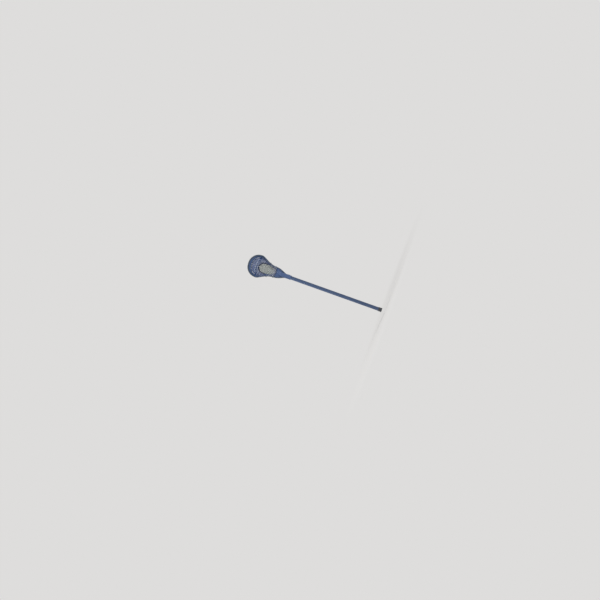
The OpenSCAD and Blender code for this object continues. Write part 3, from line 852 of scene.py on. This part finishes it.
def join(*objs):
    """Puts the meshes of all the objects into the first."""
    whole = bmesh.new()
    for o in objs:
        whole.from_mesh(o.data)
    whole.to_mesh(objs[0].data)
    whole.free()
    delete(*objs[1:])


def dress(piece, material, body, node):
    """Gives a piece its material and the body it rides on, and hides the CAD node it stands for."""
    piece.data.materials.append(material)
    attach(piece, body)
    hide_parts(node)
    return piece


def set_mark(obj, name, values):
    """Keeps a number on each of the mesh's points, for its material."""
    mark = obj.data.attributes.new(name, "FLOAT", "POINT")
    mark.data.foreach_set("value", np.asarray(values, np.float32))


def points_of(obj):
    """The object's points, in millimetres."""
    p = np.empty(len(obj.data.vertices) * 3, np.float32)
    obj.data.vertices.foreach_get("co", p)
    return p.reshape(-1, 3) / MM


def distance_to(points, curve):
    """How far each point is from the nearest of the curve's points."""
    tree = KDTree(len(curve))
    for i, p in enumerate(curve):
        tree.insert(p, i)
    tree.balance()
    return np.array([tree.find(p)[2] for p in points])


HEAD_VOXEL, HEAD_SMOOTHING = 0.94, 6
# How far the darker rail reaches from the front edge, at the scoop and at the throat
RAIL_BAND = (8.2, 3.9)
# Where that changes, and where the rail's colour ends, as (s, over a length of)
BAND_NARROWS, RAIL_ENDS = (170, 60), (272, 16)
# The height from which the front edge is worn, and the length over which that comes on
WEAR_Z, WEAR_LENGTH = 880, 120


def mark_head(shell):
    """Marks the head's darker rails, and the wear on its front edge."""
    p = points_of(shell)
    q = np.linspace(-4, 4, 1600)
    front = distance_to(p, on_wall(q, 2.5, 0))
    back = distance_to(p, by_back_edge(q, -2.5, 0))
    s = STICK_LENGTH - p[:, 2]
    band = mix(*RAIL_BAND, ease((s - BAND_NARROWS[0]) / BAND_NARROWS[1]))
    rail = 1 - ease(np.minimum(front - band, back - RAIL_BAND[1]) / 0.9)
    set_mark(shell, "rail", rail * (1 - ease((s - RAIL_ENDS[0]) / RAIL_ENDS[1])))
    set_mark(shell, "wear", (1 - ease((front - 2.4) / 2.5)) * ease((p[:, 2] - WEAR_Z) / WEAR_LENGTH))


def head():
    """The moulded head: its forms run together and are softened, then the fits are cut true."""
    shell = built("head", wall)
    cut_away(shell, built("wall_cuts", sidewall_windows, string_holes))
    stop = built("stop", stop_bar)
    cut_away(stop, built("stop_cuts", stop_holes))
    join(shell, stop, built("throat", throat), built("socket", socket), built("ridges", scoop_ridges))
    remesh = shell.modifiers.new("one_casting", "REMESH")
    remesh.mode, remesh.voxel_size = "VOXEL", HEAD_VOXEL * MM
    soften = shell.modifiers.new("soften", "SMOOTH")
    soften.factor, soften.iterations = 0.5, HEAD_SMOOTHING
    apply_modifiers(shell)
    cut_away(shell, built("shaft_fit", shaft_fit), built("screw_bore", screw_bore),
             built("screw_seat", screw_seat))
    mark_head(shell)
    shade(shell.data, True)
    return dress(shell, head_plastic(), "stick", "head_frame")


def ball_stop_foam():
    """The foam pad on the ball stop: rounded all over, and pressed in where the ball lands."""
    b = Builder()
    rings = []
    for a in np.linspace(-PAD_HALF_ANGLE, PAD_HALF_ANGLE, 61):
        end = np.clip(1 - (np.abs(a) / PAD_HALF_ANGLE) ** 14, 0.04, 1)
        thick = PAD_THICK * mix(0.45, 1, end ** 0.5)
        low, high = (mix(sum(PAD_Y) / 2, y, end ** 0.25) for y in PAD_Y)
        section = rounded(box_corners(STOP_R - thick, STOP_R - 0.02, low, high), min(2.2, thick * 0.45), 5)
        dent = [DENT * math.exp(-(a / 15) ** 2) * math.exp(-((y - 6) / 7) ** 2) * (r < STOP_R - 1)
                for r, y in section]
        rings.append([stop_arc(a, r + press, y) for press, (r, y) in zip(dent, section)])
    b.loft(rings)
    pad = b.made("ball_stop_foam")
    m = pad.modifiers.new("round", "SUBSURF")
    m.levels = m.render_levels = 1
    apply_modifiers(pad)
    dress(pad, stop_foam(), "stick", "ball_stop_pad")
    return pad


# ---- Shaft, screw and butt cap ------------------------------------------------------

SCREW_R, SCREW_SEAT_X, SCREW_HEAD_R, SCREW_HEAD_H, SCREW_LENGTH = 2.1, 15.2, 4.2, 2.4, 15.0
THREAD_PITCH, THREAD_DEPTH, BORE_GAP, SEAT_GAP = 1.4, 0.5, 0.08, 0.4
SHAFT_BREAK = 0.35
# The screw head's rounding, as (rise, share of its radius)
HEAD_ROUND = ((0, 0.97), (0.08, 1), (0.85, 1), (1.3, 0.97), (1.75, 0.86), (2.1, 0.68), (2.32, 0.42),
              (SCREW_HEAD_H, 0.12))


def shaft():
    """The drawn alloy tube: an octagon with rounded corners, open at both ends."""
    b = Builder()
    heights = np.concatenate([[CAP_FLOOR, CAP_FLOOR + SHAFT_BREAK],
                              np.linspace(CAP_FLOOR + 4, SHAFT_END_Z - 4, 90),
                              [SHAFT_END_Z - SHAFT_BREAK, SHAFT_END_Z]])
    edge = [-SHAFT_BREAK if i in (0, len(heights) - 1) else 0 for i in range(len(heights))]
    outer = [octagon_ring(e, z) for e, z in zip(edge, heights)]
    inner = [octagon_ring(-SHAFT_WALL, z) for z in heights[::-1]]
    b.loft(outer + inner, closed=True)
    tube = b.made("shaft_tube")
    b = Builder()
    screw_cylinder(b, 0, 20, SCREW_R + BORE_GAP)
    cut_away(tube, b.made("screw_hole"))
    p = points_of(tube)
    slant = (SHAFT_X + SHAFT_Y - 2 * SHAFT_CORNER) / 2 ** 1.5
    reaches = ((0, SHAFT_X / 2), (math.pi / 2, SHAFT_Y / 2), (math.pi / 4, slant), (-math.pi / 4, slant))
    flat = np.max([np.abs(p @ (math.cos(t), math.sin(t), 0)) / reach for t, reach in reaches], axis=0)
    set_mark(tube, "corner", (1 - ease((flat - 0.988) / 0.011)) * (flat > 0.95))
    return dress(tube, shaft_alloy(), "stick", "shaft")


def head_screw():
    """The pan-head screw: a helical thread, and a cross recess with tapering walls."""
    sides, b = 40, Builder()
    a = np.arange(sides) * 2 * math.pi / sides
    rings = []

    def add_ring(x, r):
        x = np.full(sides, SCREW_SEAT_X + x)
        rings.append(np.stack([x, r * np.cos(a), r * np.sin(a) + SCREW_Z], -1))

    for x in np.linspace(-SCREW_LENGTH, 0, 150):
        wave = (x / THREAD_PITCH - a / (2 * math.pi)) % 1
        ridge = np.clip(1.15 - 2.6 * np.abs(wave - 0.5), 0, 1)
        ridge *= np.clip((x + SCREW_LENGTH) / 2, 0, 1) * np.clip(-(x + 0.9) / 0.8, 0, 1)
        tip = np.clip(0.55 + (x + SCREW_LENGTH) / 1.2, 0, 1)
        add_ring(x, (SCREW_R - THREAD_DEPTH) * tip + THREAD_DEPTH * np.maximum(ridge, x > -1.0))
    for rise, share in HEAD_ROUND:
        add_ring(rise, SCREW_HEAD_R * share)
    b.loft(rings)
    screw = b.made("screw")
    for i, turned in enumerate((0, math.pi / 2)):
        b = Builder()
        across = np.array([0, math.cos(turned), math.sin(turned)])
        thin = np.array([0, -math.sin(turned), math.cos(turned)])
        ring = []
        for x, long, wide in ((0.9, 1.1, 0.28), (3.2, 2.3, 0.5)):
            centre = np.array([SCREW_SEAT_X + x, 0, SCREW_Z])
            ring.append([centre + across * s * long + thin * t * wide
                         for s, t in ((-1, -1), (1, -1), (1, 1), (-1, 1))])
        b.loft(ring)
        cut_away(screw, b.made(f"cross{i}"))
    shade(screw.data, False)
    return dress(screw, screw_steel(), "head_screw", "head_screw")


def butt_cap():
    """The rubber cap: a sleeve with a bead and three grooves, closed by a domed end with a dimple."""
    skin = CAP_GAP + CAP_WALL
    b = Builder()
    profile = CAP_BEAD + [(grow, low + rise) for low in GROOVES for grow, rise in CAP_GROOVE]
    profile += [(0, CAP_LENGTH - 0.9), (-0.2, CAP_LENGTH - 0.3), (-0.7, CAP_LENGTH)]
    dimple = [octagon_ring(skin, z, share) for z, share in
              ((1.2, 0.02), (1.15, 0.4), (0.9, 0.52), (0.35, 0.6), (0.0, 0.68))]
    outer = [octagon_ring(skin + grow, z) for grow, z in profile]
    inner = [octagon_ring(CAP_GAP + 0.5, CAP_LENGTH), octagon_ring(CAP_GAP, CAP_LENGTH - 0.6),
             octagon_ring(CAP_GAP, CAP_FLOOR)]
    b.loft(dimple + outer + inner)
    cap = b.made("butt_cap_rubber")
    z = points_of(cap)[:, 2]
    off = np.min([np.abs(z - (low + 0.75)) for low in GROOVES], axis=0)
    set_mark(cap, "groove", 1 - ease((off - 0.5) / 0.5))
    return dress(cap, cap_rubber(), "butt_cap", "butt_cap")


# ---- Stringing ----------------------------------------------------------------------

STRANDS, ROWS, STEPS_PER_ROW = 20, 34, 8
STRAND_THICK, STRAND_FILL, STRAND_MIN_W, STRAND_MAX_W = 1.9, (0.91, 0.8), 1.3, 6.8
JOINT_REACH, JOINT_W, JOINT_THICK = 0.01, 1.85, 1.2
BORDER_W, BORDER_THICK = 2.6, 2.2
OVAL_WIDEST, FOOT_CREAM = 0.42, 0.62


def strand_swing(row, i):
    """Where strand i swings to at a row: -1 to meet its left neighbour, 1 to meet its right one."""
    return np.tanh(1.5 * np.cos(math.pi * (row + i))) / math.tanh(1.5)


def cream_share(points):
    """How cream the mesh is at each point: most inside the oval that the image points mark, less
    at its foot, and 0 outside."""
    marks = [through(POINTS["pocket_" + k], pocket_tree) / MM for k in ("top", "foot", "right", "left")]
    top, foot = (STICK_LENGTH - mark.z for mark in marks[:2])
    half = abs(marks[2].x - marks[3].x) / 2
    s = STICK_LENGTH - points[:, 2]
    t = np.clip((s - top) / (foot - top), 0, 1)
    far = np.where(t < OVAL_WIDEST, (OVAL_WIDEST - t) / OVAL_WIDEST, (t - OVAL_WIDEST) / (1 - OVAL_WIDEST))
    reach = half * np.sqrt(np.maximum(0, 1 - far ** 2.6))
    darker = mix(1, FOOT_CREAM, ease((t - 0.55) / 0.45))
    return ease((reach - np.abs(points[:, 0])) / 3 + 0.5) * (t > 0) * (t < 1) * darker


def strand_room(u, v):
    """How far apart the strands' middles are at each place, measured square to them, and how wide
    the strands are there."""
    d = 0.01
    (u0, u1), (v0, v1) = ((np.maximum(0, w - d), np.minimum(1, w + d)) for w in (u, v))
    across = (pocket(u1, v) - pocket(u0, v)) / (u1 - u0)[..., None]
    room = np.linalg.norm(np.cross(across, unit(pocket(u, v1) - pocket(u, v0))), axis=-1) / STRANDS
    return room, np.clip(mix(*STRAND_FILL, ease(v / 0.4)) * room, STRAND_MIN_W, STRAND_MAX_W)


def mesh_strands(b):
    """The zigzag strands, from the scoop to the foot."""
    rows = np.linspace(0, ROWS, ROWS * STEPS_PER_ROW + 1)
    strand = np.arange(STRANDS)[:, None]
    u, v = np.broadcast_arrays((strand + 0.5) / STRANDS, rows / ROWS)
    room, wide = strand_room(u, v)
    swing_share = np.maximum(0, 0.5 * (1 - 0.92 * wide / room))
    u = u + swing_share * strand_swing(rows, strand) / STRANDS
    for path, up, w in zip(pocket(u, v), pocket_normal(u, v), wide):
        b.tube(path, up, w, STRAND_THICK, sides=8)


def strand_joints(b):
    """The places where two strands are knitted together."""
    u, row = np.array([((i + 1) / STRANDS, row) for i in range(STRANDS - 1)
                       for row in range(i % 2, ROWS + 1, 2)]).T
    low, high = np.clip(row / ROWS - JOINT_REACH, 0, 1), np.clip(row / ROWS + JOINT_REACH, 0, 1)
    along = mix(low[:, None], high[:, None], np.linspace(0, 1, 5))
    across = np.repeat(u[:, None], 5, axis=1)
    wide = strand_room(u, row / ROWS)[1]
    for path, up, w in zip(pocket(across, along), pocket_normal(across, along), wide):
        b.tube(path, up, JOINT_W * w, JOINT_THICK * STRAND_THICK, sides=10, taper=2.2)


def border_cord(b):
    """The cord along the mesh's four edges."""
    t = np.linspace(0, 1, 200)
    zero, one = np.zeros_like(t), np.ones_like(t)
    for u, v in ((t, zero), (t, one), (zero, t), (one, t)):
        b.tube(pocket(u, v), pocket_normal(u, v), BORDER_W, BORDER_THICK, sides=8)


def net():
    """The knotless mesh: zigzag strands joined side by side where they meet, and a border cord."""
    mesh = built("net", mesh_strands, strand_joints, border_cord, smooth=True)
    set_mark(mesh, "cream", cream_share(points_of(mesh)))
    dress(mesh, mesh_cord(), "stick", "mesh_pocket")
    return mesh


KNOT_SIZE = 0.42


def knot(b, centre, axis, tail, tail_length=5.0):
    """A tight overhand knot round axis, with a short tail."""
    t = np.linspace(0, 2 * math.pi, 72, endpoint=False)
    axis = unit(np.array(axis, float))
    side = unit(np.cross(axis, [0.2, 0.9, 0.3]))
    up = np.cross(axis, side)
    trefoil = ((np.sin(t) + 2 * np.sin(2 * t))[:, None] * side
               + (np.cos(t) - 2 * np.cos(2 * t))[:, None] * up - np.sin(3 * t)[:, None] * axis)
    path = np.array(centre) + CORD_D * KNOT_SIZE * trefoil
    n = unit(path - np.array(centre))
    tangent = unit(np.roll(path, -1, 0) - np.roll(path, 1, 0))
    across = unit(np.cross(tangent, n))
    n = np.cross(across, tangent)
    a = np.arange(10) * 2 * math.pi / 10
    rings = (path[:, None] + across[:, None] * (np.cos(a)[None, :, None] * CORD_D / 2)
             + n[:, None] * (np.sin(a)[None, :, None] * CORD_D / 2))
    b.loft(rings, closed=True)
    steps = tail_length * (1 - np.linspace(1, 0, 9)[:, None] ** 2.6)
    path = np.array(centre) + unit(np.array(tail, float)) * steps + axis * 0.03 * steps ** 2
    b.tube(path, axis, CORD_D * 0.95, sides=10, taper=1.2)


LOOP_MIDDLE = -1.6
LOOP_REACH, LOOP_RISE = HOLE_INSET + LOOP_MIDDLE, RAIL_HALF + CORD_D / 2 + 0.1


def edge_lacing(name, node, first, last, holes, side=1):
    """A cord wound round a rail's back edge, through its holes and the mesh's edge, with a knot
    at both ends."""
    b = Builder()
    turn = np.linspace(-0.25, holes - 0.25, 30 * holes)
    q = mix(first, last, np.minimum(turn, holes - 0.7) / (holes - 1))
    a = 2 * math.pi * turn
    across, along = edge_directions(q)
    path = by_back_edge(q, LOOP_MIDDLE - LOOP_REACH * np.cos(a), -LOOP_RISE * np.sin(a))
    b.tube(path, along * np.cos(a)[:, None] + across * np.sin(a)[:, None], CORD_D, sides=12)
    for end in (0, -1):
        knot(b, path[end] + across[end] * 1.6, across[end], tail=along[end] * 0.8 + across[end] * 0.3)
    if side < 0:
        b.points = [p * (-1, 1, 1) for p in b.points]
    return dress(b.made(name), CORD_LOOK, "stick", node)


def bottom_lacing():
    """The cord that takes up the mesh's foot, out and in through the ball stop's holes."""
    x = np.linspace(-30, 30, 150)
    holes = np.array(STOP_HOLE_X)
    crossed = (holes[None] < x[:, None]).sum(1)
    side = np.where(crossed % 2 == 0, 1, -1) * ease(np.abs(holes[None] - x[:, None]).min(1) / 4)
    r = STOP_R + STOP_THICK / 2 - side * (STOP_THICK / 2 + CORD_D / 2 + 1.2)
    z = STICK_LENGTH - BALL_STOP_S + STOP_R - np.sqrt(r * r - x * x)
    path = np.stack([x, STOP_HOLE_Y + 5 * np.maximum(0, side), z], -1)
    b = Builder()
    b.tube(path, (0, 1, 0), CORD_D, sides=12)
    return dress(b.made("bottom_lacing"), CORD_LOOK, "stick", "bottom_string")


def lace_sides(u, v):
    """Which side of the mesh a lace is on: 1 behind it, -1 towards the ball. It comes through to
    the ball's side by a hole near one rail, and goes back by a hole near the other."""
    holes = np.arange(1, STRANDS) / STRANDS
    is_open = np.cos(math.pi * (np.interp(holes, u, v) * ROWS + np.arange(1, STRANDS)))
    left, right = (holes[np.argmin(np.abs(holes - at) - 0.05 * is_open)] for at in LACE_HOLES)
    inner = np.minimum(u - left, right - u)
    return mix(1, -1, ease(inner * STRANDS / 0.9 + 0.5))


def smooth_path(points, steps=10):
    """A curve through the points, each [x, y, z], with rounded turns."""
    last = len(points) - 1
    return smooth_through(np.linspace(0, last, last * steps + 1), list(enumerate(map(tuple, points))))


# A lace's turn round a rail, as (u past the back edge, h outward), to the knot's place
LACE_TURN = [(1.9, -2.2), (2.2, 0.6), (0.2, 3.6), (-4, 4.4), (-8.5, 4.6)]


def shooting_lace_piece(name, node, lace, wrap_q, look):
    """A flat lace over the ball's side of the mesh. It goes through near both rails, turns round
    them, and is knotted outside."""
    u = np.linspace(0.03, 0.97, 400)
    mirrored = ((-lace[1][0], lace[1][1]),) + lace
    v = pocket_v(u, smooth_through(np.abs(2 * u - 1), mirrored))
    normal = pocket_normal(u, v)
    path = pocket(u, v) + normal * (lace_sides(u, v) * (STRAND_THICK / 2 + LACE_T / 2))[:, None]
    out, back = edge_directions(wrap_q)
    over = [by_back_edge(wrap_q, *place) for place in LACE_TURN]
    facing = [back - out * 0.6, back, back + out, out, out]
    flip = np.array([-1.0, 1, 1])

    def with_turns(middle, turn):
        """The middle, with the same turn at its right end and, mirrored, at its left end. The
        turn's curve starts 8 points in, so that it goes on in the middle's direction."""
        right = smooth_path([middle[-8], middle[-1]] + turn)[10:]
        left = (smooth_path([middle[7] * flip, middle[0] * flip] + turn)[10:] * flip)[::-1]
        return np.concatenate([left[:-1], middle, right[1:]])

    path, up = with_turns(path, over), with_turns(normal, facing)
    b = Builder()
    b.tube(path, up, LACE_W, LACE_T, sides=16, square=0.55, taper=1.0)
    for end, side in ((path[0], flip), (path[-1], 1)):
        knot(b, end + out * side * 0.4, out * side, tail=(back * 0.6 - (0, 0, 0.8)) * side, tail_length=8)
    return dress(b.made(name), look, "stick", node)


# ---- Stage and light ----------------------------------------------------------------

BACKGROUND, FLOOR_COLOUR = srgb(222, 221, 220), srgb(216, 215, 214)
# The floor is low enough for the cap to slide off above it; FADE is where it fades, in metres
FLOOR_Z, FLOOR_RADIUS, FADE = -0.026, 40.0, (0.1, 0.9)
WORLD_SHARE = 0.52


def seen_directly(nodes):
    """1 for rays from the camera, a mirror or glass, which are shown the plain background."""
    path = nodes.tree.nodes.new("ShaderNodeLightPath").outputs
    camera_or_mirror = nodes.maths("MAXIMUM", path["Is Camera Ray"], path["Is Glossy Ray"])
    return nodes.maths("MAXIMUM", camera_or_mirror, path["Is Transmission Ray"])


def world_light():
    """A pale sky, dimmer as a light than it looks."""
    world = bpy.context.scene.world = bpy.data.worlds.new("studio")
    nodes = Nodes(world)
    nodes.tree.nodes["Background"].inputs["Color"].default_value = BACKGROUND
    strength = nodes.node("MapRange", {"Value": seen_directly(nodes), "To Min": WORLD_SHARE, "To Max": 1.0})
    nodes.join(strength, "Background", "Strength")


def floor():
    """A pale floor that keeps the stick's shadow and fades into the background round it."""
    mesh = bpy.data.meshes.new("floor")
    whole = bmesh.new()
    bmesh.ops.create_circle(whole, cap_ends=True, radius=FLOOR_RADIUS, segments=96)
    whole.to_mesh(mesh)
    whole.free()
    plane = add_object("floor", mesh)
    plane.location.z = FLOOR_Z
    nodes = Nodes(bpy.data.materials.new("pale_floor"))
    nodes.tree.nodes.remove(nodes.tree.nodes["Principled BSDF"])
    plain = nodes.node("BsdfDiffuse", {"Color": FLOOR_COLOUR})
    glow = nodes.node("Emission", {"Color": BACKGROUND})
    far = nodes.node("VectorMath", {0: nodes.node("TexCoord", {}, "Object")}, "Value", operation="LENGTH")
    share = nodes.times(nodes.between(far, *FADE), seen_directly(nodes))
    nodes.join(nodes.node("MixShader", {"Fac": share, 1: plain, 2: glow}), "Material Output", "Surface")
    mesh.materials.append(nodes.data)


def soft_lamp(name, place, size, watts):
    """A round lamp that looks at the middle of the stick."""
    data = bpy.data.lights.new(name, "AREA")
    data.shape, data.size, data.energy = "DISK", size, watts
    lamp = add_object(name, data)
    lamp.location = place
    towards = Vector((0, 0, STICK_LENGTH * MM / 2)) - Vector(place)
    lamp.rotation_euler = towards.to_track_quat("-Z", "Y").to_euler()


# ---- Making it all ------------------------------------------------------------------


def tree_of(obj):
    return BVHTree.FromObject(obj, bpy.context.evaluated_depsgraph_get())


def write_points():
    """Gathers each piece's points, and the net's cream marks."""
    bpy.context.view_layer.update()
    found = {piece.name: points_of(piece) for piece in PIECES}
    head_p, net_p, cap_p = (found[name] for name in ("head", "net", "butt_cap_rubber"))
    cream = np.empty(len(net_p), np.float32)
    bpy.data.objects["net"].data.attributes["cream"].data.foreach_get("value", cream)


pocket_tree = tree_of(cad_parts["mesh_pocket"])
CORD_LOOK = lacing_cord()
# Each lace's first colour, and its tracer's first colour, is the painted shade in the weave's low places.
PALE_LACE = shooting_lace("pale_lace", srgb(106, 122, 150), srgb(178, 190, 206),
                         (srgb(32, 46, 84), srgb(60, 82, 130)))
NAVY_LACE = shooting_lace("navy_lace", srgb(26, 34, 58), srgb(54, 68, 104),
                         (srgb(20, 26, 42), srgb(38, 48, 74)))
PIECES = [
    head(), ball_stop_foam(), shaft(), head_screw(), butt_cap(), net(),
    edge_lacing("top_lacing", "top_string", -SCOOP_HOLE_Q, SCOOP_HOLE_Q, SCOOP_HOLES),
    edge_lacing("left_lacing", "left_sidewall_string", *SIDE_HOLE_Q, SIDE_HOLES, side=-1),
    edge_lacing("right_lacing", "right_sidewall_string", *SIDE_HOLE_Q, SIDE_HOLES),
    bottom_lacing(),
    shooting_lace_piece("upper_lace", "upper_shooting_string", UPPER_LACE, 0.95, PALE_LACE),
    shooting_lace_piece("lower_lace", "lower_shooting_string", LOWER_LACE, side_hole(1), PALE_LACE),
    shooting_lace_piece("u_lace", "u_shooting_string", U_LACE, side_hole(5), NAVY_LACE),
]
world_light()
floor()
for lamp in (("key", (1.6, -2.6, 2.2), 1.5, 80), ("fill", (-2.4, -1.4, 0.9), 1.8, 22),
             ("back", (-2.5, 1.3, 2.1), 2.0, 60)):
    soft_lamp(*lamp)
bpy.context.scene.view_settings.view_transform = "Standard"
write_points()
